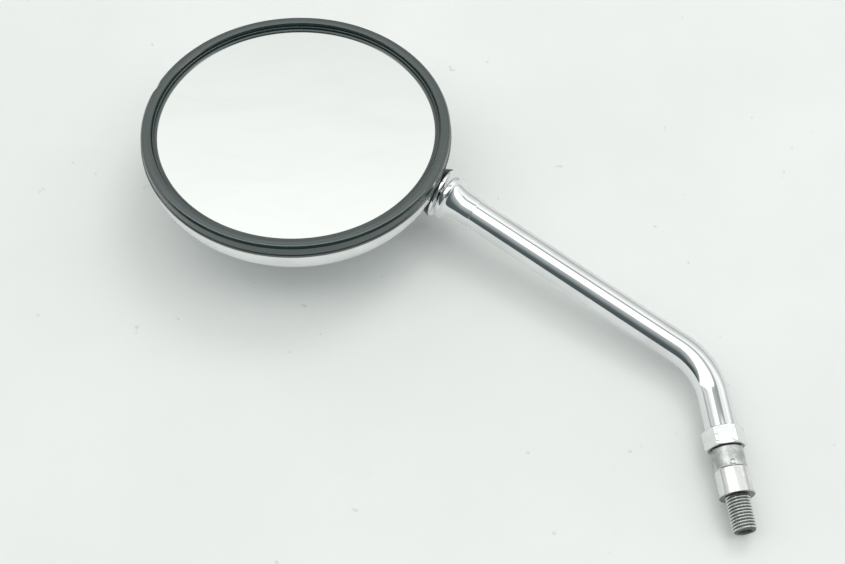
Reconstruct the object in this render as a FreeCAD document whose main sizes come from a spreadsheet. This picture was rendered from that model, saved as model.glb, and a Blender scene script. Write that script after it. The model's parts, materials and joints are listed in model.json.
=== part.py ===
import FreeCAD, Part
import math
import os
import re
import Sketcher
from FreeCAD import Placement, Rotation, Vector

# Round motorcycle-type bike mirror, in millimetres. The origin is on the mounting stud's axis, at the
# face that seats on the handlebar clamp. +Z runs up the stud and the stem's lower leg, the stem bends
# towards -X, and the glass faces roughly -Y.

SIZES = {
    # Mounting stud, seat washer and adapter, along +Z from the seat
    "stud_radius": 4.0,            # nominal M8
    "stud_length": 11.5,           # below the seat
    "stud_chamfer": 0.9,
    "stud_root": 4.5,              # length held in the adapter
    "stud_root_radius": 3.4,       # the thread's root, beyond its run-out in the washer
    "stud_recess_radius": 2.4,     # centre recess in the stud's end
    "stud_recess_depth": 1.4,
    "seat_radius": 5.95,
    "seat_thickness": 0.7,
    "collar_radius": 5.55,
    "collar_top": 9.1,
    "flats_radius": 5.4,
    "flats_across": 9.8,
    "adapter_top": 16.4,
    "adapter_edge": 0.35,
    # Lock nut and the stem's threaded end
    "nut_gap": 0.1,
    "nut_height": 6.8,
    "nut_across_flats": 12.0,
    "nut_face": 0.97,              # turned face against the width across flats, for both nuts
    "nut_corner": 1.001,           # turned corner against the width across corners
    "nut_turn": -10.0,             # a flat of the nut looks this far from -Y
    "thread_clearance": 0.05,
    "stem_thread_radius": 3.7,     # the stem's own thread, at its pitch diameter
    "thread_start": 5.5,
    "thread_insert": 9.4,          # length brazed inside the tube
    # Stem tube
    "tube_gap": 0.2,               # between the nut and the tube's end
    "tube_radius": 5.35,
    "tube_bore": 3.6,
    "bend_height": 46.2,           # where the two legs' axes cross
    "bend_angle": 47.067,
    "bend_radius": 25.0,
    "swivel_distance": 103.884,      # from the bend point to the ball's centre
    # Trumpet-shaped socket, measured from the ball's centre, + towards the tube
    "mouth_depth": 4.4,
    "mouth_radius": 8.4,
    "mouth_round": 0.8,
    "mouth_rim": 2.1,
    "flare_radius": 8.0,
    "throat_radius": 5.7,
    "throat_start": 4.0,
    "socket_rear": 8.2,
    "socket_rear_radius": 5.6,
    "socket_bore": 4.7,
    "socket_step": 7.2,
    "spigot_radius": 3.6,
    "spigot_bore": 3.0,
    "spigot_end": 15.0,
    "ring_radius": 6.2,
    "ring_inner_face": 1.9,
    "ring_opening": 3.55,
    "ring_sphere": 4.7,
    # Ball, liners and what presses on them
    "ball_radius": 4.0,
    "liner_inner": 4.05,
    "liner_outer": 4.62,
    "front_liner_start": 63.0,     # degrees from the mouth's direction
    "front_liner_end": 84.0,
    "rear_liner_start": 96.0,
    "rear_liner_end": 117.0,
    "follower_boss": 2.8,
    "follower_face": 4.75,
    "follower_radius": 4.6,
    "follower_back": 6.0,
    "spring_radius": 2.4,          # to the middle of the wire
    "spring_wire": 0.45,
    "spring_turns": 5.0,
    "plug_start": 13.0,
    # Ball stud, from the ball's centre towards the head
    "neck_radius": 2.2,
    "shank_radius": 2.5,
    "shank_end": 20.2,
    "shank_chamfer": 0.5,
    "collar_face": 5.6,
    "gasket_face": 6.6,
    "swivel_collar_radius": 8.9,
    "swivel_collar_edge": 0.4,
    "gasket_radius": 9.2,
    "gasket_root_radius": 4.4,     # radius its sides taper to at gasket_reach
    "gasket_reach": 18.6,          # far enough in to meet the bowl everywhere
    "saddle_face": 14.0,
    "saddle_half_width": 10.5,
    "saddle_up": 4.2,
    "saddle_down": 6.0,
    "rivet_offset": 7.4,
    "rivet_radius": 1.0,
    "rivet_head_radius": 1.6,
    "rivet_head_height": 0.8,
    "washer_radius": 4.6,
    "washer_thickness": 0.9,
    "lock_washer_radius": 4.2,
    "lock_washer_thickness": 1.1,
    "lock_washer_slit": 0.8,
    "stud_nut_across": 8.0,
    "stud_nut_height": 3.6,
    # Head: where the ball sits in it and how the glass is turned at rest
    "joint_radius": 60.45,          # from the glass's axis to the ball's centre
    "joint_depth": 13.191,           # from the glass's front to the ball's centre
    "joint_slope": 8.2,            # the ball stud leans back from the glass's plane
    "joint_lean": -9.15,           # and is turned from the radius, in that plane
    "face_turn": 1.507,              # glass turned towards -X
    "face_tilt": 8.63,              # glass tilted up
    "arm_angle": 27.471,             # the joint lies below the glass's horizontal
    # Bowl, glass, card and rubber rim, from the glass's front
    "shell_radius": 54.0,
    "shell_thickness": 0.8,
    "shell_edge": 0.3,
    "shell_straight": 5.0,
    "shell_dome": 23.5,
    "glass_radius": 51.0,
    "glass_thickness": 3.0,
    "glass_bevel": 0.3,
    "card_thickness": 1.0,
    "card_radius": 50.8,
    "rim_radius": 54.8,
    "rim_lip_radius": 48.9,
    "rim_front": 2.7,
    "rim_skirt": 3.0,
    "rim_ledge_radius": 49.4,
    "rim_back": 5.4,
    "rim_edge": 0.4,
    "rim_round": 1.2,
    "groove_outer": 1.1,           # groove round the rim's front, out from the glass's edge
    "groove_middle": 0.7,
    "groove_inner": 0.3,
    "groove_depth": 0.35,
    "lip_top": 1.7,                # the lip's slope down to the glass
    "lip_run": 0.7,
    "lip_drop": 1.5,
    "lip_edge": 0.4,
    "ledge_slope": 0.5,
    # Length by which a cutting form stands clear of what it cuts
    "overcut": 1.0,
}

DOC = FreeCAD.newDocument("BikeMirror")
SHEET = DOC.addObject("Spreadsheet::Sheet", "Sizes")
READER = DOC.addObject("App::FeaturePython", "Reader")
READER.addProperty("App::PropertyFloat", "Value")
NODES = []


def fill_sheet():
    for row, (alias, value) in enumerate(SIZES.items(), start=1):
        SHEET.set(f"A{row}", alias)
        SHEET.set(f"B{row}", str(value))
        SHEET.setAlias(f"B{row}", alias)
    DOC.recompute()


def bind(thing, prop, text):
    """Tie a property to an expression written in the sheet's own names."""
    def cell(match):
        return "Sizes." + match[0] if match[0] in SIZES else match[0]
    thing.setExpression(prop, re.sub(r"[a-z_]+", cell, text))


def size(text):
    """Value of an expression in the sheet's own names, such as stud_radius + 1."""
    bind(READER, "Value", text)
    READER.recompute()
    return READER.Value


def origin_plane(body, role):
    return next(f for f in body.Origin.OriginFeatures if f.Role == role)


def sketch_in(body, name, role):
    sketch = body.newObject("Sketcher::SketchObject", name)
    sketch.AttachmentSupport = [(origin_plane(body, role), "")]
    sketch.MapMode = "FlatFace"
    return sketch


def arc_between(start, end, radius, turn):
    """Arc of up to half a turn from start to end: turn is 1 to the left, -1 to the right."""
    chord = end - start
    rise = math.sqrt(max(radius * radius - chord.Length ** 2 / 4, 0.0))
    left = Vector(-chord.y, chord.x, 0).normalize()
    centre = (start + end) / 2 + left * rise * turn
    first, last = (start, end) if turn > 0 else (end, start)
    first_angle = math.atan2(first.y - centre.y, first.x - centre.x)
    last_angle = math.atan2(last.y - centre.y, last.x - centre.x)
    return Part.ArcOfCircle(Part.Circle(centre, Vector(0, 0, 1), radius), first_angle, last_angle)


def draw(sketch, corners, arcs=None, closed=True):
    """Draw runs through corners given as pairs of expressions. arcs maps a run's index to (radius, turn)."""
    arcs = arcs or {}
    points = [Vector(size(across), size(up), 0) for across, up in corners]
    runs = len(points) if closed else len(points) - 1
    ends = []
    for index in range(runs):
        start, end = points[index], points[(index + 1) % len(points)]
        if index in arcs:
            radius, turn = arcs[index]
            run = sketch.addGeometry(arc_between(start, end, size(radius), turn))
            name = f"radius_{index}"
            sketch.addConstraint(Sketcher.Constraint("Radius", run, size(radius)))
            sketch.renameConstraint(sketch.ConstraintCount - 1, name)
            bind(sketch, ".Constraints." + name, radius)
            ends.append((run, 1, 2) if turn > 0 else (run, 2, 1))
        else:
            run = sketch.addGeometry(Part.LineSegment(start, end))
            ends.append((run, 1, 2))
    for index in range(runs if closed else runs - 1):
        run, _, last = ends[index]
        after, first, _ = ends[(index + 1) % runs]
        sketch.addConstraint(Sketcher.Constraint("Coincident", run, last, after, first))
    for index, (across, up) in enumerate(corners):
        run, vertex = (ends[index][0], ends[index][1]) if index < runs else (ends[-1][0], ends[-1][2])
        for kind, text in (("DistanceX", across), ("DistanceY", up)):
            name = f"{kind}_{index}"
            sketch.addConstraint(Sketcher.Constraint(kind, -1, 1, run, vertex, size(text)))
            sketch.renameConstraint(sketch.ConstraintCount - 1, name)
            bind(sketch, ".Constraints." + name, text)


def turned(label, corners, arcs=None):
    """A body of revolution about Z, from an outline of (radius, height) corners."""
    body = DOC.addObject("PartDesign::Body", label)
    sketch = sketch_in(body, label + "_outline", "XZ_Plane")
    draw(sketch, corners, arcs)
    turn = body.newObject("PartDesign::Revolution", label + "_turn")
    turn.Profile = sketch
    turn.ReferenceAxis = (sketch, ["V_Axis"])
    turn.Angle = 360
    return body


def cylinder(label, radius, bottom, top, y="0", frame=Placement()):
    thing = DOC.addObject("Part::Cylinder", label)
    bind(thing, "Radius", radius)
    bind(thing, "Height", f"({top}) - ({bottom})")
    thing.Placement = frame.multiply(Placement(Vector(0, size(y), size(bottom)), Rotation()))
    return thing


def box(label, low, high, frame=Placement()):
    """Box between two corners given as triples of expressions."""
    thing = DOC.addObject("Part::Box", label)
    for side, start, end in zip(("Length", "Width", "Height"), low, high):
        bind(thing, side, f"({end}) - ({start})")
    corner = Vector(*(size(place) for place in low))
    thing.Placement = frame.multiply(Placement(corner, Rotation()))
    return thing


def cut(label, base, tool):
    thing = DOC.addObject("Part::Cut", label)
    thing.Base = base
    thing.Tool = tool
    return thing


def common(label, first, second):
    thing = DOC.addObject("Part::Common", label)
    thing.Base = first
    thing.Tool = second
    return thing


def fused(label, things):
    thing = DOC.addObject("Part::MultiFuse", label)
    thing.Shapes = things
    return thing


def node(thing, label, place=None):
    """Register a finished sub-part under its node name, in its place."""
    thing.Label = label
    if place is not None:
        thing.Placement = place
    NODES.append(thing)
    return thing


# Frames


def stem_direction():
    """The upper leg's direction, from the bend towards the head."""
    return Vector(-size("sin(bend_angle)"), 0, size("cos(bend_angle)"))


def socket_place():
    """Frame at the ball's centre with +Z along the upper leg, towards the tube."""
    centre = Vector(0, 0, size("bend_height")) + stem_direction() * size("swivel_distance")
    return Placement(centre, Rotation(Vector(0, 1, 0), 180 - size("bend_angle")))


def head_place():
    """Frame at the centre of the glass's front: +Z out of the glass, +X towards the swivel."""
    turn = math.radians(size("face_turn"))
    tilt = math.radians(size("face_tilt"))
    arm = math.radians(size("arm_angle"))
    front = Vector(-math.sin(turn) * math.cos(tilt), -math.cos(turn) * math.cos(tilt), math.sin(tilt))
    level = Vector(math.cos(turn), -math.sin(turn), 0)
    upright = front.cross(level)
    towards_joint = level * math.cos(arm) - upright * math.sin(arm)
    side = front.cross(towards_joint)
    rotation = Rotation(towards_joint, side, front, "ZXY")
    centre = socket_place().Base - towards_joint * size("joint_radius") + front * size("joint_depth")
    return Placement(centre, rotation)


def swivel_in_head():
    """The ball stud's frame inside the head's: +Z out along the stud, away from the glass's axis."""
    centre = Vector(size("joint_radius"), 0, -size("joint_depth"))
    lean = Rotation(Vector(0, 0, 1), size("joint_lean"))
    return Placement(centre, lean.multiply(Rotation(Vector(0, 1, 0), 90 + size("joint_slope"))))


def swivel_place():
    return head_place().multiply(swivel_in_head())


# Mounting stud, seat washer, adapter and lock nut


def make_mounting_stud():
    turned_stud = turned("mounting_stud", [
        ("0", "stud_root"),
        ("0", "stud_recess_depth - stud_length"),
        ("stud_recess_radius", "stud_recess_depth - stud_length"),
        ("stud_recess_radius", "-stud_length"),
        ("stud_radius - stud_chamfer", "-stud_length"),
        ("stud_radius", "stud_chamfer - stud_length"),
        ("stud_radius", "0"),
        ("stud_root_radius", "seat_thickness"),
        ("stud_root_radius", "stud_root"),
    ])
    node(turned_stud, "mounting_stud")


def make_seat_washer():
    """Washer whose bore follows the stud's run-out, so its face begins at the stud's full radius."""
    washer = turned("seat_washer", [
        ("stud_radius", "0"),
        ("seat_radius - adapter_edge", "0"),
        ("seat_radius", "adapter_edge"),
        ("seat_radius", "seat_thickness"),
        ("stud_root_radius", "seat_thickness"),
    ])
    node(washer, "seat_washer")


def make_adapter_body():
    blank = turned("adapter_blank", [
        ("stud_root_radius", "seat_thickness"),
        ("collar_radius", "seat_thickness"),
        ("collar_radius", "collar_top - adapter_edge"),
        ("collar_radius - adapter_edge", "collar_top"),
        ("flats_radius", "collar_top + adapter_edge"),
        ("flats_radius", "adapter_top - adapter_edge"),
        ("flats_radius - adapter_edge", "adapter_top"),
        ("stem_thread_radius + thread_clearance", "adapter_top"),
        ("stem_thread_radius + thread_clearance", "stud_root"),
        ("stud_root_radius", "stud_root"),
    ])
    flats = []
    for side, start, end in (("left", "-collar_radius - overcut", "-flats_across / 2"),
                             ("right", "flats_across / 2", "collar_radius + overcut")):
        low = (start, "-collar_radius", "collar_top + adapter_edge")
        high = (end, "collar_radius", "adapter_top + overcut")
        flats.append(box(f"flat_{side}", low, high))
    node(cut("adapter_body", blank, fused("flats", flats)), "adapter_body")


def hexagon(label, across, bottom, top, bore):
    """Hexagonal nut with its corners turned down at both ends and a plain bore."""
    prism = DOC.addObject("Part::Prism", label + "_prism")
    prism.Polygon = 6
    bind(prism, "Circumradius", f"{across} / 2 / cos(30)")
    bind(prism, "Height", f"({top}) - ({bottom})")
    bind(prism, "Placement.Base.z", bottom)
    face = f"{across} / 2 * nut_face"
    corner = f"{across} / 2 / cos(30) * nut_corner"
    drop = f"({across} / 2 / cos(30) - {across} / 2 * nut_face) * tan(30)"
    barrel = turned(label + "_barrel", [
        ("0", bottom),
        (face, bottom),
        (corner, f"{bottom} + {drop}"),
        (corner, f"{top} - {drop}"),
        (face, top),
        ("0", top),
    ])
    solid = common(label + "_solid", prism, barrel)
    return cut(label, solid, cylinder(label + "_bore", bore, f"{bottom} - overcut", f"{top} + overcut"))


def make_lock_nut():
    bottom = "adapter_top + nut_gap"
    top = bottom + " + nut_height"
    nut = hexagon("lock_nut", "nut_across_flats", bottom, top, "stem_thread_radius + thread_clearance")
    node(nut, "lock_nut", Placement(Vector(), Rotation(Vector(0, 0, 1), size("nut_turn"))))


# Stem

TUBE_BOTTOM = "adapter_top + nut_gap + nut_height + tube_gap"
BEND_TANGENT = "bend_radius * tan(bend_angle / 2)"


def make_stem_thread_end():
    end = turned("stem_thread_end", [
        ("0", "thread_start"),
        ("stem_thread_radius - stud_chamfer", "thread_start"),
        ("stem_thread_radius", "thread_start + stud_chamfer"),
        ("stem_thread_radius", TUBE_BOTTOM),
        ("tube_bore", TUBE_BOTTOM),
        ("tube_bore", TUBE_BOTTOM + " + thread_insert"),
        ("0", TUBE_BOTTOM + " + thread_insert"),
    ])
    node(end, "stem_thread_end")


def make_stem_tube():
    body = DOC.addObject("PartDesign::Body", "stem_tube")
    path = sketch_in(body, "stem_path", "XZ_Plane")
    straight = "(swivel_distance - socket_rear)"
    draw(path, [
        ("0", TUBE_BOTTOM),
        ("0", f"bend_height - {BEND_TANGENT}"),
        (f"-{BEND_TANGENT} * sin(bend_angle)", f"bend_height + {BEND_TANGENT} * cos(bend_angle)"),
        (f"-{straight} * sin(bend_angle)", f"bend_height + {straight} * cos(bend_angle)"),
    ], {1: ("bend_radius", 1)}, closed=False)
    section = sketch_in(body, "stem_section", "XY_Plane")
    bind(section, "AttachmentOffset.Base.z", TUBE_BOTTOM)
    for index, radius in enumerate(("tube_radius", "tube_bore")):
        ring = section.addGeometry(Part.Circle(Vector(0, 0, 0), Vector(0, 0, 1), size(radius)))
        section.addConstraint(Sketcher.Constraint("Coincident", ring, 3, -1, 1))
        section.addConstraint(Sketcher.Constraint("Radius", ring, size(radius)))
        section.renameConstraint(section.ConstraintCount - 1, f"radius_{index}")
        bind(section, f".Constraints.radius_{index}", radius)
    pipe = body.newObject("PartDesign::AdditivePipe", "stem_pipe")
    pipe.Profile = section
    pipe.Spine = (path, ["Edge1", "Edge2", "Edge3"])
    node(body, "stem_tube")


def make_stem_socket():
    socket = turned("stem_socket", [
        ("ring_radius", "-mouth_depth"),
        ("mouth_radius - mouth_round", "-mouth_depth"),
        ("mouth_radius", "mouth_round - mouth_depth"),
        ("mouth_radius", "mouth_rim - mouth_depth"),
        ("throat_radius + flare_radius - sqrt(flare_radius^2 - (throat_start + mouth_depth - mouth_rim)^2)",
         "mouth_rim - mouth_depth"),
        ("throat_radius", "throat_start"),
        ("socket_rear_radius", "socket_rear"),
        ("spigot_radius", "socket_rear"),
        ("spigot_radius", "spigot_end"),
        ("spigot_bore", "spigot_end"),
        ("spigot_bore", "socket_step"),
        ("socket_bore", "socket_step"),
        ("socket_bore", "-ring_inner_face"),
        ("ring_radius", "-ring_inner_face"),
    ], {1: ("mouth_round", 1), 4: ("flare_radius", -1)})
    node(socket, "stem_socket", socket_place())


def make_socket_ring():
    ring = turned("socket_ring", [
        ("ring_opening", "-mouth_depth"),
        ("ring_radius", "-mouth_depth"),
        ("ring_radius", "-ring_inner_face"),
        ("sqrt(ring_sphere^2 - ring_inner_face^2)", "-ring_inner_face"),
        ("ring_opening", "-sqrt(ring_sphere^2 - ring_opening^2)"),
    ], {3: ("ring_sphere", -1)})
    node(ring, "socket_ring", socket_place())


def make_ball_follower():
    follower = turned("ball_follower", [
        ("0", "liner_inner"),
        ("follower_boss", "sqrt(liner_inner^2 - follower_boss^2)"),
        ("follower_boss", "follower_face"),
        ("follower_radius", "follower_face"),
        ("follower_radius", "follower_back"),
        ("0", "follower_back"),
    ], {0: ("liner_inner", -1)})
    node(follower, "ball_follower", socket_place())


def make_swivel_spring():
    """A coil of round wire between the follower and the plug."""
    helix = DOC.addObject("Part::Helix", "spring_line")
    bind(helix, "Radius", "spring_radius")
    bind(helix, "Height", "plug_start - follower_back - 2 * spring_wire")
    bind(helix, "Pitch", "(plug_start - follower_back - 2 * spring_wire) / spring_turns")
    wire = DOC.addObject("Part::Circle", "spring_section")
    bind(wire, "Radius", "spring_wire")
    wire.Placement = Placement(Vector(size("spring_radius"), 0, 0), Rotation(Vector(1, 0, 0), 90))
    coil = DOC.addObject("Part::Sweep", "swivel_spring")
    coil.Sections = [wire]
    coil.Spine = helix
    coil.Solid = True
    coil.Frenet = True
    lift = Placement(Vector(0, 0, size("follower_back + spring_wire")), Rotation())
    node(coil, "swivel_spring", socket_place().multiply(lift))


def make_spring_plug():
    plug = cylinder("spring_plug", "spigot_bore", "plug_start", "spigot_end", frame=socket_place())
    node(plug, "spring_plug")


def make_ball_liner(label, start, end):
    """A narrow ring of a hollow sphere around the ball, between two angles from the mouth's direction."""
    liner = turned(label, [
        (f"liner_inner * sin({start})", f"-liner_inner * cos({start})"),
        (f"liner_outer * sin({start})", f"-liner_outer * cos({start})"),
        (f"liner_outer * sin({end})", f"-liner_outer * cos({end})"),
        (f"liner_inner * sin({end})", f"-liner_inner * cos({end})"),
    ], {1: ("liner_outer", 1), 3: ("liner_inner", -1)})
    node(liner, label, swivel_place())


# Swivel parts of the head

RIVETS = (("a", "rivet_offset"), ("b", "-rivet_offset"))


def make_ball_stud():
    stud = turned("ball_stud", [
        ("0", "-shank_end"),
        ("shank_radius - shank_chamfer", "-shank_end"),
        ("shank_radius", "shank_chamfer - shank_end"),
        ("shank_radius", "-collar_face"),
        ("neck_radius", "-collar_face"),
        ("neck_radius", "-sqrt(ball_radius^2 - neck_radius^2)"),
        ("0", "ball_radius"),
    ], {5: ("ball_radius", 1)})
    node(stud, "ball_stud", swivel_place())


def make_swivel_collar():
    collar = turned("swivel_collar", [
        ("shank_radius", "-gasket_face"),
        ("swivel_collar_radius", "-gasket_face"),
        ("swivel_collar_radius", "-collar_face - swivel_collar_edge"),
        ("swivel_collar_radius - swivel_collar_edge", "-collar_face"),
        ("shank_radius", "-collar_face"),
    ])
    node(collar, "swivel_collar", swivel_place())


def bowl_form(label, inset):
    """Solid form of the bowl, its walls moved in by inset: a straight rim over half an ellipsoid."""
    dome = DOC.addObject("Part::Ellipsoid", label + "_dome")
    bind(dome, "Radius1", f"shell_dome - {inset}")
    bind(dome, "Radius2", f"shell_radius - {inset}")
    bind(dome, "Radius3", f"shell_radius - {inset}")
    dome.Angle1 = -90
    dome.Angle2 = 0
    bind(dome, "Placement.Base.z", "-shell_straight")
    wall = cylinder(label + "_wall", f"shell_radius - {inset}", "-shell_straight", "shell_edge")
    return fused(label, [dome, wall])


def stud_hole(label):
    return cylinder(label, "shank_radius", "-shank_end", "-collar_face", frame=swivel_in_head())


def rivet_holes(label):
    bottom = "-saddle_face - overcut"
    frame = swivel_in_head()
    return [cylinder(f"{label}_{side}", "rivet_radius", bottom, "-collar_face", offset, frame)
            for side, offset in RIVETS]


def make_mirror_shell():
    outside = bowl_form("shell_outside", "0")
    inside = bowl_form("shell_inside", "shell_thickness")
    hollow = cut("shell_hollow", outside, inside)
    holes = fused("shell_holes", [stud_hole("shell_stud_hole")] + rivet_holes("shell_rivet_hole"))
    node(cut("mirror_shell", hollow, holes), "mirror_shell", head_place())


def make_swivel_gasket():
    """Rubber wedge: a round pad, tapered towards the bowl, whose inner face fits it."""
    pad = DOC.addObject("Part::Cone", "gasket_pad")
    bind(pad, "Radius1", "gasket_root_radius")
    bind(pad, "Radius2", "gasket_radius")
    bind(pad, "Height", "gasket_reach - gasket_face")
    pad.Placement = swivel_in_head().multiply(Placement(Vector(0, 0, size("-gasket_reach")), Rotation()))
    fitted = cut("gasket_fitted", pad, bowl_form("gasket_seat", "0"))
    node(cut("swivel_gasket", fitted, stud_hole("gasket_hole")), "swivel_gasket", head_place())


def make_inner_saddle():
    """Casting inside the bowl that gives the ball stud's nut a flat seat."""
    low = ("-saddle_up", "-saddle_half_width", "-saddle_face")
    high = ("saddle_down", "saddle_half_width", "-collar_face")
    block = box("saddle_block", low, high, swivel_in_head())
    fitted = common("saddle_fitted", block, bowl_form("saddle_seat", "shell_thickness"))
    holes = fused("saddle_holes", [stud_hole("saddle_stud_hole")] + rivet_holes("saddle_rivet_hole"))
    node(cut("inner_saddle", fitted, holes), "inner_saddle", head_place())


def make_saddle_rivets():
    """Two rivets, flush with the bowl outside and headed on the saddle."""
    pieces = rivet_holes("rivet_shank")
    for side, offset in RIVETS:
        pieces.append(cylinder(f"rivet_head_{side}", "rivet_head_radius",
                               "-saddle_face - rivet_head_height", "-saddle_face", offset, swivel_in_head()))
    rivets = common("saddle_rivets", fused("rivet_blanks", pieces), bowl_form("rivet_limit", "0"))
    node(rivets, "saddle_rivets", head_place())


def make_stud_washer():
    washer = turned("stud_washer", [
        ("shank_radius", "-saddle_face - washer_thickness"),
        ("washer_radius", "-saddle_face - washer_thickness"),
        ("washer_radius", "-saddle_face"),
        ("shank_radius", "-saddle_face"),
    ])
    node(washer, "stud_washer", swivel_place())


def make_stud_lock_washer():
    """Split spring washer, drawn flat as it is when tightened."""
    top = "-saddle_face - washer_thickness"
    bottom = top + " - lock_washer_thickness"
    ring = turned("lock_washer_ring", [
        ("shank_radius", bottom),
        ("lock_washer_radius", bottom),
        ("lock_washer_radius", top),
        ("shank_radius", top),
    ])
    low = ("-lock_washer_slit / 2", "0", bottom + " - overcut")
    high = ("lock_washer_slit / 2", "lock_washer_radius + overcut", top + " + overcut")
    node(cut("stud_lock_washer", ring, box("lock_washer_cut", low, high)), "stud_lock_washer", swivel_place())


def make_stud_nut():
    top = "-saddle_face - washer_thickness - lock_washer_thickness"
    nut = hexagon("stud_nut", "stud_nut_across", top + " - stud_nut_height", top, "shank_radius")
    node(nut, "stud_nut", swivel_place())


# Glass, card and rim


def make_mirror_glass():
    glass = turned("mirror_glass", [
        ("0", "-glass_thickness"),
        ("glass_radius - glass_bevel", "-glass_thickness"),
        ("glass_radius", "glass_bevel - glass_thickness"),
        ("glass_radius", "-glass_bevel"),
        ("glass_radius - glass_bevel", "0"),
        ("0", "0"),
    ])
    node(glass, "mirror_glass", head_place())


def make_backing_card():
    card = turned("backing_card", [
        ("0", "-glass_thickness - card_thickness"),
        ("card_radius", "-glass_thickness - card_thickness"),
        ("card_radius", "-glass_thickness"),
        ("0", "-glass_thickness"),
    ])
    node(card, "backing_card", head_place())


def make_rim_rubber():
    """Channel section: holds the glass and the card inside and grips the bowl's edge outside."""
    rim = turned("rim_rubber", [
        ("rim_lip_radius", "0"),
        ("glass_radius", "0"),
        ("glass_radius", "-glass_thickness - card_thickness"),
        ("rim_ledge_radius", "-glass_thickness - card_thickness"),
        ("rim_ledge_radius + ledge_slope", "-rim_back"),
        ("shell_radius - shell_thickness", "-rim_back"),
        ("shell_radius - shell_thickness", "shell_edge"),
        ("shell_radius", "shell_edge"),
        ("shell_radius", "-rim_skirt"),
        ("rim_radius - rim_edge", "-rim_skirt"),
        ("rim_radius", "rim_edge - rim_skirt"),
        ("rim_radius", "rim_front - rim_round"),
        ("rim_radius - rim_round", "rim_front"),
        ("glass_radius + groove_outer", "rim_front"),
        ("glass_radius + groove_middle", "rim_front - groove_depth"),
        ("glass_radius + groove_inner", "rim_front"),
        ("rim_lip_radius + lip_top", "rim_front"),
        ("rim_lip_radius + lip_run", "rim_front - lip_drop"),
        ("rim_lip_radius", "lip_edge"),
    ], {11: ("rim_round", 1)})
    node(rim, "rim_rubber", head_place())


def check_document():
    for thing in DOC.Objects:
        assert "Invalid" not in thing.State and "Error" not in thing.State, f"{thing.Label}: {thing.State}"
    for thing in NODES:
        assert not thing.Shape.isNull() and thing.Shape.isValid(), f"{thing.Label}: bad shape"
        assert thing.Shape.Volume > 0, f"{thing.Label}: no volume"


def export():
    os.makedirs("parts", exist_ok=True)
    for thing in NODES:
        thing.Shape.exportStep(os.path.join("parts", thing.Label + ".step"))
        print(f"{thing.Label}: {thing.Shape.Volume:.1f} mm3, {len(thing.Shape.Solids)} solid(s)")


fill_sheet()
make_mounting_stud()
make_seat_washer()
make_adapter_body()
make_lock_nut()
make_stem_thread_end()
make_stem_tube()
make_stem_socket()
make_socket_ring()
make_ball_follower()
make_swivel_spring()
make_spring_plug()
make_ball_liner("ball_liner_front", "front_liner_start", "front_liner_end")
make_ball_liner("ball_liner_rear", "rear_liner_start", "rear_liner_end")
make_ball_stud()
make_swivel_collar()
make_swivel_gasket()
make_mirror_shell()
make_inner_saddle()
make_saddle_rivets()
make_stud_washer()
make_stud_lock_washer()
make_stud_nut()
make_mirror_glass()
make_backing_card()
make_rim_rubber()
DOC.recompute()
check_document()
export()
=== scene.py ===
import bpy
import json
import math
from mathutils import Matrix, Vector, noise


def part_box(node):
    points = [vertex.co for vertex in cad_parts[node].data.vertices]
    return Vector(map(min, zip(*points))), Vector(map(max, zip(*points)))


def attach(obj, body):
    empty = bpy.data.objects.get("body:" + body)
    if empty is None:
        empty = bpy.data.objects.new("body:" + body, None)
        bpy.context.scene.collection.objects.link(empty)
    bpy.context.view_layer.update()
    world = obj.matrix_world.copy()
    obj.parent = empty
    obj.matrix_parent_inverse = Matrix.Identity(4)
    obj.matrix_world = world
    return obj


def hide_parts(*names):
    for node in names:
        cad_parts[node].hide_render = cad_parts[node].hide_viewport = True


# Bike mirror, in metres, in the mounted frame: origin on the mounting stud's axis at its seat, +Z up the
# stud, the stem bends towards -X and the glass faces roughly -Y. It lies on its back on a pale board.

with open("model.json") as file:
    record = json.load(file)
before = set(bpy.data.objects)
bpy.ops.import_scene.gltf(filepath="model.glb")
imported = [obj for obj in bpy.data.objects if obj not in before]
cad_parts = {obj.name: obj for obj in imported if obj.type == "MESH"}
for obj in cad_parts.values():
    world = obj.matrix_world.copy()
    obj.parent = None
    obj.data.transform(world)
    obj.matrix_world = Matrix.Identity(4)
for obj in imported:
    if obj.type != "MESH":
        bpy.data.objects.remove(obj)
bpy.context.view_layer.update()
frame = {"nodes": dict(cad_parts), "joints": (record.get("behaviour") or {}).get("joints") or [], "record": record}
MM = 0.001

JOINTS = {joint["name"]: joint for joint in frame["joints"]}
SWIVEL = Vector(JOINTS["mirror_swing"]["pos_m"])
BALL_AXIS = Vector(JOINTS["mirror_spin"]["axis"]).normalized()

# The part's own sizes, in millimetres, that a box of a node doesn't give
BEND_HEIGHT = 46.2
BEND_RADIUS = 25.0
TUBE_BORE = 3.6
TUBE_TOP_GAP = 8.2
JOINT_RADIUS = 60.45
JOINT_DEPTH = 13.191
FACE_TURN = math.radians(1.507)
FACE_TILT = math.radians(8.63)
ARM_ANGLE = math.radians(27.471)

# The adapter, in metres: where the polished collar gives way to the worn spanner section, and a knock
COLLAR_EDGE = (0.0090, 0.0095)
DENT_PLACE = (-0.0006, -0.0054, 0.0104)
DENT_REACH = (0.0005, 0.0012)

# Radii, in metres, between which the thread goes from painted shade in its roots to its bright crests
ROOT_TO_CREST = (0.00338, 0.00392)

# Heights, in metres, between which painted shade sets in at the washer's foot and at the nut's two ends, where
# they meet the next parts
WASHER_FOOT_SHADE = [(0.0004, 0.00005)]
NUT_END_SHADE = [(0.01685, 0.01655), (0.02300, 0.02325)]

# Camera and the board it looks down on
CAMERA_PLACE = Vector((-0.146335, -0.423802, -0.12907))
CAMERA_VIEW = Vector((0.114, 0.886, 0.45)).normalized()
CAMERA_UP = Vector((0.076, -0.46, 0.885))
LENS_MM = 59.64
SENSOR_MM = 36.0
BOARD_NORMAL = Vector((-0.06, -0.997, 0.052)).normalized()
BOARD_DROP = 0.0064
BOARD_POINT = Vector((0, 0, -0.0012)) - BOARD_NORMAL * BOARD_DROP


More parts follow.
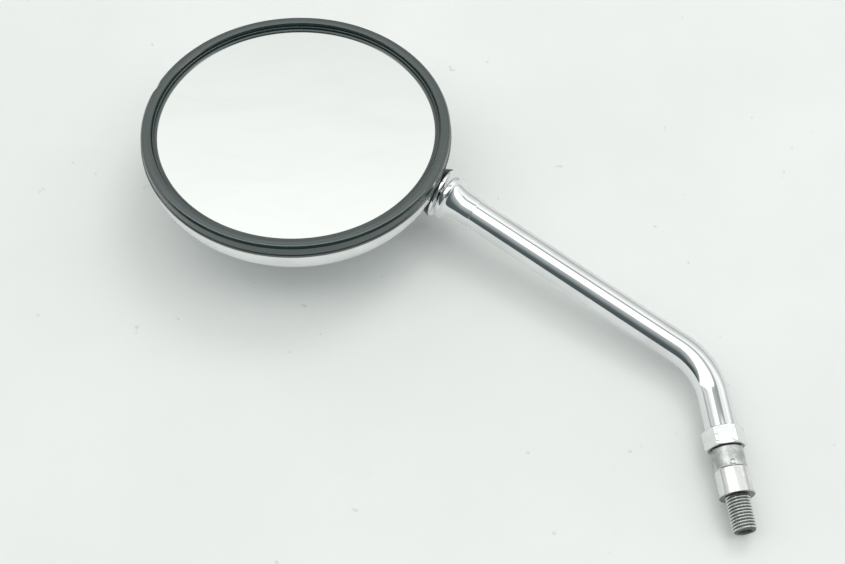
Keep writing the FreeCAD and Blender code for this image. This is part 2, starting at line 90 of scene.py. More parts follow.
# ---------------------------------------------------------------- frames

def from_axes(x, y, z, centre):
    turn = Matrix((x, y, z)).transposed()
    return Matrix.Translation(centre) @ turn.to_4x4()


def frame_along(centre, axis, hint=Vector((0, 1, 0))):
    """Frame at centre with +Z along axis and +X as near hint as it can be."""
    z = axis.normalized()
    x = (hint - z * hint.dot(z)).normalized()
    return from_axes(x, z.cross(x), z, centre)


def head_frame():
    """Centre of the glass's front: +Z out of the glass, +X towards the swivel."""
    front = Vector((-math.sin(FACE_TURN) * math.cos(FACE_TILT),
                    -math.cos(FACE_TURN) * math.cos(FACE_TILT), math.sin(FACE_TILT)))
    level = Vector((math.cos(FACE_TURN), -math.sin(FACE_TURN), 0))
    arm = level * math.cos(ARM_ANGLE) - front.cross(level) * math.sin(ARM_ANGLE)
    centre = SWIVEL - arm * JOINT_RADIUS * MM + front * JOINT_DEPTH * MM
    return from_axes(arm, front.cross(arm), front, centre)


BEND_POINT = Vector((0, 0, BEND_HEIGHT * MM))
LEG = (SWIVEL - BEND_POINT).normalized()
SOCKET_FRAME = frame_along(SWIVEL, -LEG)
COLLAR_FRAME = frame_along(SWIVEL, BALL_AXIS)
HEAD_FRAME = head_frame()


# ---------------------------------------------------------------- mesh making

def finish_mesh(name, verts, faces, angle):
    mesh = bpy.data.meshes.new(name)
    mesh.from_pydata(verts, [], faces)
    mesh.update()
    for face in mesh.polygons:
        face.use_smooth = True
    mesh.set_sharp_from_angle(angle=math.radians(angle))
    thing = bpy.data.objects.new(name, mesh)
    bpy.context.scene.collection.objects.link(thing)
    return thing


def rounded(outline):
    """Closed outline of (radius, height, fillet) in mm, with each fillet turned into a short arc."""
    points = []
    count = len(outline)
    for index, (across, up, fillet) in enumerate(outline):
        here = Vector((across, up))
        if fillet <= 0:
            points.append(here)
            continue
        before = Vector(outline[index - 1][:2]) - here
        after = Vector(outline[(index + 1) % count][:2]) - here
        corner = before.angle(after)
        reach = min(fillet / math.tan(corner / 2), before.length * 0.49, after.length * 0.49)
        radius = reach * math.tan(corner / 2)
        first = here + before.normalized() * reach
        last = here + after.normalized() * reach
        inward = (before.normalized() + after.normalized()).normalized()
        centre = here + inward * (radius / math.sin(corner / 2))
        steps = max(2, math.ceil(math.degrees(math.pi - corner) / 11))
        for step in range(steps + 1):
            share = step / steps
            spoke = (first - centre).lerp(last - centre, share).normalized()
            points.append(centre + spoke * radius)
    return points


def revolve(name, outline, place, segments=192, angle=38, shape=None):
    """Ring of a closed outline about the frame's +Z. shape may move each point of it, angle by angle."""
    points = rounded(outline)
    rows = len(points)
    verts = []
    for segment in range(segments):
        turn = math.tau * segment / segments
        for radius, height in points:
            if shape:
                radius, height = shape(turn, radius, height)
            verts.append(place @ (Vector((radius * math.cos(turn), radius * math.sin(turn), height)) * MM))
    faces = []
    for segment in range(segments):
        after = (segment + 1) % segments
        for row in range(rows):
            below = (row + 1) % rows
            faces.append((segment * rows + row, segment * rows + below,
                          after * rows + below, after * rows + row))
    return finish_mesh(name, verts, faces, angle)


def lathe(name, profile, place, segments=192, angle=38):
    """Turned solid: an open profile of (radius, height) in mm whose two ends lie on the axis."""
    verts = [place @ (Vector((0, 0, profile[0][1])) * MM)]
    inner = profile[1:-1]
    rows = len(inner)
    for segment in range(segments):
        turn = math.tau * segment / segments
        for radius, height in inner:
            verts.append(place @ (Vector((radius * math.cos(turn), radius * math.sin(turn), height)) * MM))
    verts.append(place @ (Vector((0, 0, profile[-1][1])) * MM))
    last = len(verts) - 1
    faces = []
    for segment in range(segments):
        after = (segment + 1) % segments
        here, there = 1 + segment * rows, 1 + after * rows
        faces.append((0, there, here))
        for row in range(rows - 1):
            faces.append((here + row, there + row, there + row + 1, here + row + 1))
        faces.append((here + rows - 1, there + rows - 1, last))
    return finish_mesh(name, verts, faces, angle)


def swept_tube(name, spine, radius, bore, segments=96):
    """Hollow tube along (point, direction) pairs that all lie in the XZ plane."""
    side = Vector((0, 1, 0))
    verts = []
    for size in (radius, bore):
        for point, ahead in spine:
            out = ahead.cross(side).normalized()
            for segment in range(segments):
                turn = math.tau * segment / segments
                verts.append(point + (out * math.cos(turn) + side * math.sin(turn)) * size)
    rings = len(spine)
    faces = []

    def at(skin, ring, segment):
        return (skin * rings + ring) * segments + segment % segments

    for segment in range(segments):
        for ring in range(rings - 1):
            faces.append((at(0, ring, segment), at(0, ring, segment + 1),
                          at(0, ring + 1, segment + 1), at(0, ring + 1, segment)))
            faces.append((at(1, ring, segment + 1), at(1, ring, segment),
                          at(1, ring + 1, segment), at(1, ring + 1, segment + 1)))
        for ring, flip in ((0, False), (rings - 1, True)):
            end = (at(0, ring, segment), at(1, ring, segment),
                   at(1, ring, segment + 1), at(0, ring, segment + 1))
            faces.append(end[::-1] if flip else end)
    return finish_mesh(name, verts, faces, 40)


# ---------------------------------------------------------------- materials

class Nodes:
    """A node tree, with short helpers that return output sockets."""

    def __init__(self, tree):
        self.tree = tree

    def add(self, kind, **settings):
        thing = self.tree.nodes.new(kind)
        for key, value in settings.items():
            setattr(thing, key, value)
        return thing

    def put(self, target, value):
        if isinstance(value, bpy.types.NodeSocket):
            self.tree.links.new(value, target)
        else:
            target.default_value = value

    def math(self, operation, first, second=0.0, clamp=False):
        thing = self.add("ShaderNodeMath", operation=operation, use_clamp=clamp)
        self.put(thing.inputs[0], first)
        self.put(thing.inputs[1], second)
        return thing.outputs[0]

    def dot(self, vector, axis):
        thing = self.add("ShaderNodeVectorMath", operation="DOT_PRODUCT")
        self.put(thing.inputs[0], vector)
        thing.inputs[1].default_value = axis
        return thing.outputs["Value"]

    def ramp(self, value, low, high, start=0.0, end=1.0):
        thing = self.add("ShaderNodeMapRange", interpolation_type="SMOOTHSTEP")
        self.put(thing.inputs["Value"], value)
        thing.inputs["From Min"].default_value = low
        thing.inputs["From Max"].default_value = high
        thing.inputs["To Min"].default_value = start
        thing.inputs["To Max"].default_value = end
        return thing.outputs["Result"]

    def mix(self, share, first, second):
        thing = self.add("ShaderNodeMix", data_type="RGBA")
        self.put(thing.inputs[0], share)
        self.put(thing.inputs[6], (*first, 1) if isinstance(first, tuple) else first)
        self.put(thing.inputs[7], (*second, 1) if isinstance(second, tuple) else second)
        return thing.outputs[2]

    def mix_shader(self, share, first, second):
        thing = self.add("ShaderNodeMixShader")
        self.put(thing.inputs[0], share)
        self.put(thing.inputs[1], first)
        self.put(thing.inputs[2], second)
        return thing.outputs[0]


class Paint(Nodes):
    """A material, with textures laid in the mounted frame."""

    def __init__(self, name):
        self.material = bpy.data.materials.new(name)
        self.material.use_nodes = True
        super().__init__(self.material.node_tree)
        self.shader = self.tree.nodes["Principled BSDF"]

    def place(self):
        return self.add("ShaderNodeTexCoord").outputs["Object"]

    def noise(self, scale, detail=3.0, rough=0.5, stretch=None, distortion=0.0):
        where = self.place()
        if stretch:
            mapping = self.add("ShaderNodeMapping")
            mapping.inputs["Scale"].default_value = stretch
            self.put(mapping.inputs["Vector"], where)
            where = mapping.outputs["Vector"]
        thing = self.add("ShaderNodeTexNoise")
        self.put(thing.inputs["Vector"], where)
        thing.inputs["Scale"].default_value = scale
        thing.inputs["Detail"].default_value = detail
        thing.inputs["Roughness"].default_value = rough
        thing.inputs["Distortion"].default_value = distortion
        return thing.outputs["Fac"]

    def bump(self, height, strength, distance, under=None):
        thing = self.add("ShaderNodeBump")
        thing.inputs["Strength"].default_value = strength
        thing.inputs["Distance"].default_value = distance
        self.put(thing.inputs["Height"], height)
        if under:
            self.put(thing.inputs["Normal"], under)
        return thing.outputs["Normal"]

    def axis(self, name):
        split = self.add("ShaderNodeSeparateXYZ")
        self.put(split.inputs[0], self.place())
        return split.outputs[name]

    def radius(self):
        """Distance from the stud's axis, in metres."""
        across = self.math("POWER", self.axis("X"), 2.0)
        deep = self.math("POWER", self.axis("Y"), 2.0)
        return self.math("SQRT", self.math("ADD", across, deep))

    def set(self, colour, rough, normal, metallic, **numbers):
        self.put(self.shader.inputs["Base Color"], colour)
        self.put(self.shader.inputs["Roughness"], rough)
        if normal is not None:
            self.put(self.shader.inputs["Normal"], normal)
        self.put(self.shader.inputs["Metallic"], metallic)
        for key, value in numbers.items():
            self.shader.inputs[key.replace("_", " ")].default_value = value
        return self.material


PIT_COLOUR = (0.10, 0.09, 0.085)
# Painted shade: near-black colour laid where a plated part meets the next part
JOINT_SHADE_COLOUR = (0.05, 0.055, 0.05)
DUST_COLOUR = (0.25, 0.25, 0.23)


def chrome(name, colour, rough, haze, scratch, pits):
    """Chrome plating: nearly even, with hazy patches, fine scratches and a few dark pits."""
    paint = Paint(name)
    patches = paint.noise(38, 4, 0.6)
    scratches = paint.noise(900, 2, 0.6, stretch=(1.0, 0.35, 0.12), distortion=0.6)
    pitted = paint.ramp(paint.noise(620, 2, 0.5), 0.76 - pits, 0.80 - pits)
    dull = tuple(part * 0.86 for part in colour)
    base = paint.mix(paint.ramp(patches, 0.35, 0.75), colour, dull)
    base = paint.mix(pitted, base, PIT_COLOUR)
    roughness = paint.math("ADD", paint.ramp(patches, 0.4, 0.8, rough, rough + haze),
                           paint.ramp(scratches, 0.55, 0.75, 0.0, scratch))
    roughness = paint.math("ADD", roughness, paint.math("MULTIPLY", pitted, 0.4))
    wave = paint.bump(paint.noise(55, 1, 0.4), 0.05, 0.0004)
    normal = paint.bump(scratches, 0.02, 0.00003, under=wave)
    return paint.set(base, roughness, normal, 1.0)


def steel(name, colour, dark, rough, grain, dent, painted_shade):
    """Plated steel: mottled plating, tool marks, small dents, and painted shade between heights (unmarked,
    shaded).
    """
    paint = Paint(name)
    mottle = paint.noise(210, 5, 0.65)
    marks = paint.noise(1400, 2, 0.5, stretch=(1.0, 1.0, 4.0))
    dents = paint.ramp(paint.noise(420, 1, 0.4), 0.58, 0.72)
    base = paint.mix(paint.ramp(mottle, 0.38, 0.68), colour, dark)
    # Painted shade: near-black bands at the heights where the part meets the next one
    for unmarked, shaded in painted_shade:
        if unmarked < shaded:
            shading = paint.ramp(paint.axis("Z"), unmarked, shaded, 0.0, 0.8)
        else:
            shading = paint.ramp(paint.axis("Z"), shaded, unmarked, 0.8, 0.0)
        base = paint.mix(shading, base, JOINT_SHADE_COLOUR)
    roughness = paint.math("ADD", paint.ramp(mottle, 0.3, 0.7, rough, rough + 0.14),
                           paint.math("MULTIPLY", marks, 0.06))
    normal = paint.bump(dents, dent, 0.0002)
    normal = paint.bump(marks, grain, 0.00005, under=normal)
    return paint.set(base, roughness, normal, 1.0)


def worn_adapter(name):
    """Plated adapter: polished collar, a greyer and rougher spanner section above it, with one dent."""
    paint = Paint(name)
    mottle = paint.noise(260, 5, 0.65)
    marks = paint.noise(1300, 3, 0.6, stretch=(1.0, 1.0, 2.0))
    worn = paint.ramp(paint.axis("Z"), *COLLAR_EDGE)
    unmarked = paint.mix(paint.ramp(mottle, 0.38, 0.68), (0.80, 0.81, 0.80), (0.70, 0.71, 0.70))
    rubbed = paint.mix(paint.ramp(mottle, 0.36, 0.60), (0.66, 0.67, 0.65), (0.42, 0.43, 0.42))
    offset = paint.add("ShaderNodeVectorMath", operation="DISTANCE")
    paint.put(offset.inputs[0], paint.place())
    offset.inputs[1].default_value = DENT_PLACE
    hollow = paint.ramp(offset.outputs["Value"], *DENT_REACH)
    roughness = paint.math("ADD", paint.ramp(mottle, 0.3, 0.7, 0.12, 0.20),
                           paint.math("MULTIPLY", worn, 0.34))
    normal = paint.bump(hollow, 0.9, 0.0004)
    normal = paint.bump(paint.math("MULTIPLY", marks, worn), 0.5, 0.00008, under=normal)
    return paint.set(paint.mix(worn, unmarked, rubbed), roughness, normal, 1.0)


def threaded_steel(name):
    """Thread steel: bright crests and painted shade darkening the roots, unevenly."""
    paint = Paint(name)
    painted_shade = paint.noise(700, 4, 0.6)
    depth = paint.ramp(paint.radius(), *ROOT_TO_CREST)
    uneven = paint.math("MULTIPLY", paint.math("SUBTRACT", painted_shade, 0.5), 0.5)
    shade = paint.math("ADD", depth, uneven, clamp=True)
    # Painted shade: the colour darkens with the groove's depth into the thread's roots
    base = paint.mix(shade, (0.13, 0.14, 0.13), (0.76, 0.77, 0.75))
    roughness = paint.ramp(shade, 0.0, 1.0, 0.55, 0.24)
    normal = paint.bump(paint.noise(1600, 3, 0.6), 0.2, 0.00006)
    return paint.set(base, roughness, normal, paint.ramp(shade, 0.0, 0.6, 0.55, 1.0))


def rubber(name, colour, dusty, rough, grain, gloss):
    """Moulded black rubber: fine grain and dust in patches. gloss is the skin's refractive index."""
    paint = Paint(name)
    dust = paint.noise(60, 5, 0.6)
    fine = paint.noise(1500, 3, 0.6)
    speckle = paint.ramp(paint.noise(900, 1, 0.5), 0.70, 0.76)
    base = paint.mix(paint.ramp(dust, 0.45, 0.75), colour, dusty)
    base = paint.mix(paint.math("MULTIPLY", speckle, 0.12), base, DUST_COLOUR)
    roughness = paint.ramp(dust, 0.3, 0.75, rough, rough + 0.10)
    normal = paint.bump(fine, grain, 0.00004)
    normal = paint.bump(paint.noise(170, 2, 0.5), 0.06, 0.0002, under=normal)
    return paint.set(base, roughness, normal, 0.0, IOR=gloss)


def silvered_glass(name):
    """Front of the mirror: silver behind clear glass, with faint smears and dust."""
    paint = Paint(name)
    smear = paint.noise(26, 5, 0.55, stretch=(1.0, 1.0, 2.5), distortion=0.8)
    dust = paint.ramp(paint.noise(1300, 1, 0.5), 0.765, 0.80)
    base = paint.mix(paint.ramp(smear, 0.4, 0.8), (0.93, 0.955, 0.935), (0.90, 0.925, 0.905))
    base = paint.mix(paint.math("MULTIPLY", dust, 0.4), base, (0.7, 0.7, 0.68))
    roughness = paint.math("ADD", paint.ramp(smear, 0.45, 0.8, 0.006, 0.028),
                           paint.math("MULTIPLY", dust, 0.2))
    return paint.set(base, roughness, None, 1.0)


def plain_solid(name, colour, shade, rough, scale, metallic=0.0, grain=0.1):
    """Even material with a little mottling and grain, for the inner parts."""
    paint = Paint(name)
    mottle = paint.noise(scale, 4, 0.6)
    base = paint.mix(paint.ramp(mottle, 0.35, 0.7), colour, shade)
    roughness = paint.ramp(mottle, 0.3, 0.7, rough, rough + 0.12)
    normal = paint.bump(paint.noise(scale * 4, 3, 0.6), grain, 0.0001)
    return paint.set(base, roughness, normal, metallic)


MATERIALS = {
    "threaded_steel": threaded_steel("Threaded_steel"),
    "plated_steel": steel("Plated_steel", (0.66, 0.67, 0.66), (0.50, 0.50, 0.49),
                          rough=0.20, grain=0.15, dent=0.1, painted_shade=WASHER_FOOT_SHADE),
    "adapter_plating": worn_adapter("Adapter_plating"),
    "nut_plating": steel("Nut_plating", (0.86, 0.87, 0.86), (0.78, 0.79, 0.78),
                         rough=0.08, grain=0.10, dent=0.20, painted_shade=NUT_END_SHADE),
    "stem_chrome": chrome("Stem_chrome", (0.84, 0.86, 0.86),
                          rough=0.035, haze=0.05, scratch=0.05, pits=0.0),
    "shell_chrome": chrome("Bowl_chrome", (0.86, 0.88, 0.87),
                           rough=0.03, haze=0.05, scratch=0.04, pits=-0.01),
    "spring_steel": plain_solid("Spring_steel", (0.30, 0.30, 0.31), (0.20, 0.20, 0.21),
                                rough=0.32, scale=500, metallic=1.0),
    "liner_plastic": plain_solid("Liner_plastic", (0.78, 0.76, 0.68), (0.68, 0.65, 0.57),
                                 rough=0.45, scale=300),
    "gasket_rubber": rubber("Gasket_rubber", (0.010, 0.012, 0.012), (0.022, 0.024, 0.024),
                            rough=0.4, grain=0.2, gloss=1.5),
    "rim_rubber": rubber("Rim_rubber", (0.005, 0.021, 0.019), (0.014, 0.034, 0.031),
                         rough=0.15, grain=0.10, gloss=1.95),
    "cast_saddle": plain_solid("Cast_saddle", (0.50, 0.51, 0.52), (0.38, 0.39, 0.40),
                               rough=0.42, scale=350, metallic=1.0, grain=0.5),
    "mirror_glass": silvered_glass("Mirror_glass"),
    "card": plain_solid("Card", (0.36, 0.28, 0.19), (0.27, 0.21, 0.14), rough=0.8, scale=250, grain=0.3),
}


def paint_nodes():
    """Gives every shown CAD node the finished material of its slot."""
    for part in frame["record"]["subparts"]:
        thing = frame["nodes"][part["node"]]
        for slot in thing.material_slots:
            slot.material = MATERIALS[part["material_slot"]]


def stand_for(thing, node, body):
    """thing takes a CAD node's place, on the node's body, in the node's material slot."""
    slots = {part["node"]: part["material_slot"] for part in frame["record"]["subparts"]}
    slot = slots[node]
    thing.data.materials.append(MATERIALS[slot])
    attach(thing, body)
    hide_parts(node)


# ---------------------------------------------------------------- pieces

# The mounting thread, in millimetres but for its slope and its shares of half a pitch
THREAD_PITCH = 1.0
THREAD_DEPTH = 0.61
THREAD_CHAMFER = 0.75
CHAMFER_SLOPE = 1.15
CREST_SHARE = 0.14
FLANK_SHARE = 0.72
THREAD_WEAR = 0.03
ROW_STEP = 0.05
RECESS_RADIUS = 2.35
RECESS_DEPTH = 1.3
RECESS_EDGE = 0.12


def thread_cut(turn, height):
    """How deep the M8 x 1 thread is cut at an angle and a height, in mm."""
    phase = (height / THREAD_PITCH - turn / math.tau) % 1.0
    slope = abs(phase - 0.5) * 2
    return THREAD_DEPTH * min(1.0, max(0.0, (slope - CREST_SHARE) / FLANK_SHARE))


def make_thread():
    """The mounting stud with its real thread, end chamfer and hollow end."""
    low, high = (corner.z / MM for corner in map(Vector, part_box("mounting_stud")))
    radius = (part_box("mounting_stud")[1][0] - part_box("mounting_stud")[0][0]) / 2 / MM
    segments = 120
    rows = [low + index * ROW_STEP for index in range(int(round((high - low) / ROW_STEP)) + 1)]
    profile = [
        (0.0, low + RECESS_DEPTH), (RECESS_RADIUS * 0.86, low + RECESS_DEPTH),
        (RECESS_RADIUS, low + RECESS_DEPTH * 0.8), (RECESS_RADIUS, low + RECESS_EDGE),
        (RECESS_RADIUS + RECESS_EDGE, low),
    ]
    verts = [Vector((0, 0, profile[0][1])) * MM]
    for segment in range(segments):
        turn = math.tau * segment / segments
        column = list(profile[1:])
        for height in rows:
            size = radius - thread_cut(turn, height)
            size += THREAD_WEAR * noise.noise(Vector((math.cos(turn) * 6, math.sin(turn) * 6, height * 3)))
            size = min(size, radius, radius - THREAD_CHAMFER + (height - low) * CHAMFER_SLOPE)
            column.append((size, height))
        for across, up in column:
            verts.append(Vector((across * math.cos(turn), across * math.sin(turn), up)) * MM)
    verts.append(Vector((0, 0, high)) * MM)
    depth = len(profile) - 1 + len(rows)
    last = len(verts) - 1
    faces = []
    for segment in range(segments):
        here = 1 + segment * depth
        there = 1 + (segment + 1) % segments * depth
        faces.append((0, there, here))
        for row in range(depth - 1):
            faces.append((here + row, there + row, there + row + 1, here + row + 1))
        faces.append((here + depth - 1, there + depth - 1, last))
    thread = finish_mesh("Mounting_thread", verts, faces, 50)
    stand_for(thread, "mounting_stud", "adapter")


def make_tube():
    """Bent tube: a straight foot, one bend and a straight leg up to the trumpet."""
    radius = (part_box("stem_tube")[1][1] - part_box("stem_tube")[0][1]) / 2
    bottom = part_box("stem_tube")[0][2]
    bend = math.acos(LEG.z)
    reach = BEND_RADIUS * MM * math.tan(bend / 2)
    start = BEND_POINT - Vector((0, 0, reach))
    centre = start + Vector((-BEND_RADIUS * MM, 0, 0))
    spine = [(Vector((0, 0, bottom)), Vector((0, 0, 1)))]
    for share in (0.3, 0.6):
        spine.append((spine[0][0].lerp(start, share), Vector((0, 0, 1))))
    steps = 56
    for step in range(steps + 1):
        turn = bend * step / steps
        out = Vector((math.cos(turn), 0, math.sin(turn)))
        spine.append((centre + out * BEND_RADIUS * MM, Vector((-math.sin(turn), 0, math.cos(turn)))))
    finish = SWIVEL - LEG * TUBE_TOP_GAP * MM
    corner = spine[-1][0]
    for share in (0.25, 0.5, 0.75, 1.0):
        spine.append((corner.lerp(finish, share), LEG))
    tube = swept_tube("Bent_tube", spine, radius, TUBE_BORE * MM)
    stand_for(tube, "stem_tube", "stem")


def flare(start, end, small, large, steps=22):
    """Points of the trumpet's hollow curve, from its wide end to its throat."""
    points = []
    for step in range(steps + 1):
        share = step / steps
        height = start + (end - start) * share
        drop = (1 - math.sin(math.acos(1 - share)) if share < 1 else 0.0)
        points.append((small + (large - small) * drop, height))
    return points


def make_socket():
    """Trumpet-shaped end of the stem with a rounded lip."""
    outline = [(6.2, -4.4, 0.15), (8.4, -4.4, 1.0), (8.4, -2.3, 0.9)]
    curve = flare(-2.05, 4.0, 5.7, 7.95)
    outline += [(radius, height, 0.0) for radius, height in curve]
    outline += [(5.66, 6.2, 0.0), (5.6, 8.2, 0.12), (3.6, 8.2, 0.0), (3.6, 15.0, 0.1), (3.0, 15.0, 0.0),
                (3.0, 7.2, 0.0), (4.7, 7.2, 0.0), (4.7, -1.9, 0.0), (6.2, -1.9, 0.0)]
    socket = revolve("Trumpet_socket", outline, SOCKET_FRAME, 160, 40)
    stand_for(socket, "stem_socket", "stem")


def make_collar():
    """Polished collar under the ball stud's neck."""
    outline = [(2.5, -6.6, 0.0), (8.9, -6.6, 0.12), (8.9, -5.6, 0.35), (2.5, -5.6, 0.0)]
    collar = revolve("Swivel_disc", outline, COLLAR_FRAME, 160, 40)
    stand_for(collar, "swivel_collar", "head")


# The bowl, in millimetres behind the glass's front
BOWL_RADIUS = 54.0
BOWL_DOME = 23.5
BOWL_STRAIGHT = 5.0
BOWL_MOUTH = 0.3
BOWL_WALL = 0.8


def bowl_profile(radius, dome, straight, top, steps=64):
    """A quarter of an ellipse and a short straight wall, from the bowl's pole to its mouth."""
    points = []
    for step in range(steps + 1):
        turn = math.pi / 2 * (1 - step / steps)
        points.append((radius * math.cos(turn), -straight - dome * math.sin(turn)))
    points.append((radius, top))
    return points


def make_bowl():
    """Chromed bowl behind the glass."""
    outside = bowl_profile(BOWL_RADIUS, BOWL_DOME, BOWL_STRAIGHT, BOWL_MOUTH)
    inside = bowl_profile(BOWL_RADIUS - BOWL_WALL, BOWL_DOME - BOWL_WALL, BOWL_STRAIGHT, BOWL_MOUTH)
    profile = [(0.0, outside[0][1])] + outside[1:] + inside[:0:-1] + [(0.0, inside[0][1])]
    bowl = lathe("Chrome_bowl", profile, HEAD_FRAME, 256, 40)
    stand_for(bowl, "mirror_shell", "head")


# A small tear in the rim, in millimetres but for its place and width round the rim
NICK_ANGLE = math.radians(181)
NICK_WIDTH = 0.03
NICK_DEPTH = 0.25
NICK_CRUMBLE = 0.3
NICK_INNER = 53.0
RIM_WAVE = 0.05
RIM_FRONT = (50.5, 54.3)


def rim_shape(turn, radius, height):
    """Small tear in the rim's outer corner and a little waviness of the moulding."""
    away = (turn - NICK_ANGLE + math.pi) % math.tau - math.pi
    if radius > NICK_INNER and height > -1.5:
        depth = math.exp(-(away / NICK_WIDTH) ** 2)
        crumble = noise.noise(Vector((away * 120, radius, height * 2)))
        radius -= depth * (NICK_DEPTH + NICK_CRUMBLE * crumble) * min(1.0, (radius - NICK_INNER))
        height -= depth * NICK_DEPTH * max(0.0, height)
    wave = RIM_WAVE * noise.noise(Vector((math.cos(turn) * 2.2, math.sin(turn) * 2.2, 0.3)))
    if RIM_FRONT[0] < radius < RIM_FRONT[1] and height > 0:
        height += wave - RIM_WAVE
    return radius, height


def make_rim():
    """Rubber ring: lip over the glass, stepped inner wall, wide front face and a beaded skirt."""
    outline = [
        (48.9, 0.0, 0.0), (48.9, 0.42, 0.12), (49.65, 0.52, 0.1), (49.7, 0.3, 0.0), (49.95, 0.3, 0.0),
        (50.05, 1.15, 0.12), (50.45, 1.2, 0.12), (50.5, 0.9, 0.0), (50.72, 0.9, 0.0),
        (50.85, 2.55, 0.35), (52.2, 2.72, 1.2), (53.75, 2.6, 0.8), (54.45, 1.5, 0.8),
        (54.5, -1.25, 0.2), (54.8, -1.55, 0.15), (54.8, -2.0, 0.15), (54.5, -2.3, 0.1), (54.5, -3.0, 0.15),
        (54.05, -3.0, 0.0), (54.02, 0.32, 0.0), (53.18, 0.32, 0.0), (53.18, -5.4, 0.1), (49.9, -5.4, 0.1),
        (49.4, -4.02, 0.0), (51.02, -4.02, 0.0), (51.02, 0.0, 0.0),
    ]
    rim = revolve("Rubber_rim", outline, HEAD_FRAME, 360, 42, rim_shape)
    stand_for(rim, "rim_rubber", "head")


def make_glass():
    """Mirror glass with a ground edge."""
    profile = [(0, 0), (20, 0), (40, 0), (50.7, 0), (51, -0.3), (51, -2.7), (50.7, -3.0), (0, -3.0)]
    glass = lathe("Silvered_glass", profile, HEAD_FRAME, 256, 20)
    stand_for(glass, "mirror_glass", "head")


# ---------------------------------------------------------------- stage, light and camera

BACK = (CAMERA_VIEW - BOARD_NORMAL * CAMERA_VIEW.dot(BOARD_NORMAL)).normalized()
RIGHT = BACK.cross(BOARD_NORMAL)


BOARD_HALF = 1.2
BOARD_CLEAR = 0.5


def make_board():
    """Pale floor: solid from the front, clear from behind and half clear to reflections."""
    place = from_axes(RIGHT, BACK, BOARD_NORMAL, BOARD_POINT)
    signs = ((-1, -1), (1, -1), (1, 1), (-1, 1))
    corners = [place @ Vector((x * BOARD_HALF, y * BOARD_HALF, 0)) for x, y in signs]
    mesh = bpy.data.meshes.new("Board")
    mesh.from_pydata(corners, [], [(0, 1, 2, 3)])
    board = bpy.data.objects.new("Board", mesh)
    bpy.context.scene.collection.objects.link(board)
    paint = Paint("Board_paint")
    patches = paint.noise(9, 4, 0.6)
    specks = paint.ramp(paint.noise(170, 2, 0.6), 0.725, 0.76)
    base = paint.mix(paint.ramp(patches, 0.3, 0.7), (0.80, 0.815, 0.80), (0.84, 0.85, 0.835))
    base = paint.mix(paint.math("MULTIPLY", specks, 0.25), base, (0.35, 0.35, 0.33))
    paint.set(base, 0.6, None, 0.0, Specular_IOR_Level=0.2)
    clear = paint.add("ShaderNodeBsdfTransparent").outputs[0]
    behind = paint.add("ShaderNodeNewGeometry").outputs["Backfacing"]
    one_sided = paint.mix_shader(behind, paint.shader.outputs[0], clear)
    # Polished metal sees part of the board's shadow and part of the pale studio below it
    glossy = paint.math("MULTIPLY", paint.add("ShaderNodeLightPath").outputs["Is Glossy Ray"], BOARD_CLEAR)
    surface = paint.mix_shader(glossy, one_sided, clear)
    paint.put(paint.tree.nodes["Material Output"].inputs["Surface"], surface)
    mesh.materials.append(paint.material)


# Studio round the object: (share of the half turn from the back horizon over the top, brightness)
STUDIO = [(0.0, 0.6), (0.05, 0.6), (0.07, 0.4), (0.1, 0.7), (0.2, 0.8), (0.3, 1.25), (0.35, 1.0), (0.4, 1.0),
          (0.44, 2.4), (0.57, 2.7), (0.61, 0.6), (0.8, 0.12), (1.0, 0.1)]
BELOW_BOARD = 0.78

# Dark shapes in the studio. A span fades in between its first two values and out between its last two
BAR_DARKENS = 0.62
BAR_LEAN = 0.05
BAR_UP = (0.370, 0.378, 0.4085, 0.4105)
BAR_ACROSS = (-0.40, -0.30, 0.28, 0.38)
SEAM_DARKENS = 0.40
SEAM_UP = (0.405, 0.410, 0.425, 0.432)
SEAM_ACROSS = (0.04, 0.08, 0.60, 0.80)
WALL_DARKENS = 0.32
WALL_ACROSS = (-3.0, -2.0, -0.86, -0.74)

# Matt surfaces get less of the studio and an even fill, so that shadows on the board stay soft and pale
MATT_CUT = 0.42
MATT_FILL = 0.26


def studio_curve(studio, around):
    """Brightness of the studio at a share of the half turn."""
    curve = studio.add("ShaderNodeFloatCurve")
    line = curve.mapping.curves[0]
    top = max(value for _, value in STUDIO)
    while len(line.points) < len(STUDIO):
        line.points.new(0.5, 0.5)
    for point, (where, value) in zip(line.points, STUDIO):
        point.location = (where, value / top)
        point.handle_type = "VECTOR"
    curve.mapping.update()
    studio.put(curve.inputs["Value"], around)
    return studio.math("MULTIPLY", curve.outputs["Value"], top)


def darkened(studio, sky, amount, spans):
    """The sky with a dark shape in it, where every (value, span) pair is inside its span."""
    shape = amount
    for value, (low, low_end, high, high_end) in spans:
        inside = studio.math("MULTIPLY", studio.ramp(value, low, low_end, 0.0, 1.0),
                             studio.ramp(value, high, high_end, 1.0, 0.0))
        shape = studio.math("MULTIPLY", shape, inside)
    return studio.math("MULTIPLY", sky, studio.math("SUBTRACT", 1.0, shape))


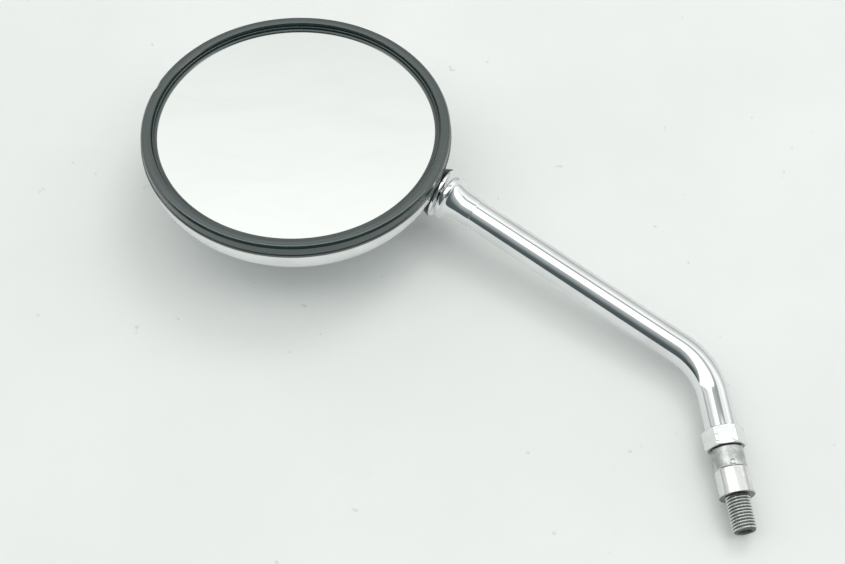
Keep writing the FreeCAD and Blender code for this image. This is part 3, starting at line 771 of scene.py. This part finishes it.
def make_world():
    """Studio for the metal and the floor to see, and a plain pale ground for the camera."""
    world = bpy.data.worlds.new("Studio")
    bpy.context.scene.world = world
    world.use_nodes = True
    studio = Nodes(world.node_tree)
    ray = studio.add("ShaderNodeTexCoord").outputs["Generated"]
    up = studio.dot(ray, BOARD_NORMAL)
    right = studio.dot(ray, RIGHT)
    around = studio.math("DIVIDE", studio.math("ARCTAN2", up, studio.dot(ray, BACK)), math.pi)
    sky = studio_curve(studio, around)

    # Above, a dull bar and the seam of a soft box. To the left, a duller wall
    leaning = studio.math("ADD", around, studio.math("MULTIPLY", right, BAR_LEAN))
    sky = darkened(studio, sky, BAR_DARKENS, [(leaning, BAR_UP), (right, BAR_ACROSS)])
    sky = darkened(studio, sky, SEAM_DARKENS, [(around, SEAM_UP), (right, SEAM_ACROSS)])
    sky = darkened(studio, sky, WALL_DARKENS, [(right, WALL_ACROSS)])

    # Below the board's plane every ray sees pale board
    board = studio.add("ShaderNodeMix", data_type="FLOAT")
    studio.put(board.inputs[0], studio.ramp(up, -0.02, 0.0))
    board.inputs[2].default_value = BELOW_BOARD
    studio.put(board.inputs[3], sky)
    brightness = board.outputs[0]
    tint = studio.mix(studio.ramp(brightness, 0.0, 0.6), (0.80, 1.02, 1.06), (0.985, 1.0, 0.985))

    path = studio.add("ShaderNodeLightPath")
    matt = path.outputs["Is Diffuse Ray"]
    kept = studio.math("SUBTRACT", 1.0, studio.math("MULTIPLY", matt, MATT_CUT))
    fill = studio.math("MULTIPLY", matt, MATT_FILL)
    light = studio.add("ShaderNodeBackground")
    studio.put(light.inputs["Color"], tint)
    studio.put(light.inputs["Strength"], studio.math("ADD", studio.math("MULTIPLY", brightness, kept), fill))
    ground = studio.add("ShaderNodeBackground")
    ground.inputs["Color"].default_value = (0.84, 0.86, 0.845, 1)
    surface = studio.mix_shader(path.outputs["Is Camera Ray"], light.outputs[0], ground.outputs[0])
    studio.put(studio.tree.nodes["World Output"].inputs["Surface"], surface)


LAMP_SIZE = (0.6, 0.45)
LAMP_ENERGY = 2.5
LAMP_UP = 1.1
LAMP_BACK = 0.55
LAMP_RIGHT = 0.35


def make_lamp():
    """Large soft box over the board, behind and to the right, for the soft shadow."""
    data = bpy.data.lights.new("Soft_box", "AREA")
    data.shape = "RECTANGLE"
    data.size = LAMP_SIZE[0]
    data.size_y = LAMP_SIZE[1]
    data.energy = LAMP_ENERGY
    lamp = bpy.data.objects.new("Soft_box", data)
    bpy.context.scene.collection.objects.link(lamp)
    offset = BOARD_NORMAL * LAMP_UP + BACK * LAMP_BACK + RIGHT * LAMP_RIGHT
    lamp.matrix_world = frame_along(SWIVEL + offset, offset, RIGHT)
    lamp.visible_glossy = False


def make_camera():
    """Camera over the board, looking from the stud's end towards the head."""
    data = bpy.data.cameras.new("Camera")
    data.lens = LENS_MM
    data.sensor_width = SENSOR_MM
    data.clip_start = 0.01
    camera = bpy.data.objects.new("Camera", data)
    bpy.context.scene.collection.objects.link(camera)
    away = -CAMERA_VIEW
    right = CAMERA_UP.cross(away).normalized()
    camera.matrix_world = from_axes(right, away.cross(right), away, CAMERA_PLACE)
    bpy.context.scene.camera = camera


bpy.context.scene.view_settings.view_transform = "Standard"
make_camera()
paint_nodes()
make_thread()
make_tube()
make_socket()
make_collar()
make_bowl()
make_rim()
make_glass()
make_board()
make_world()
make_lamp()
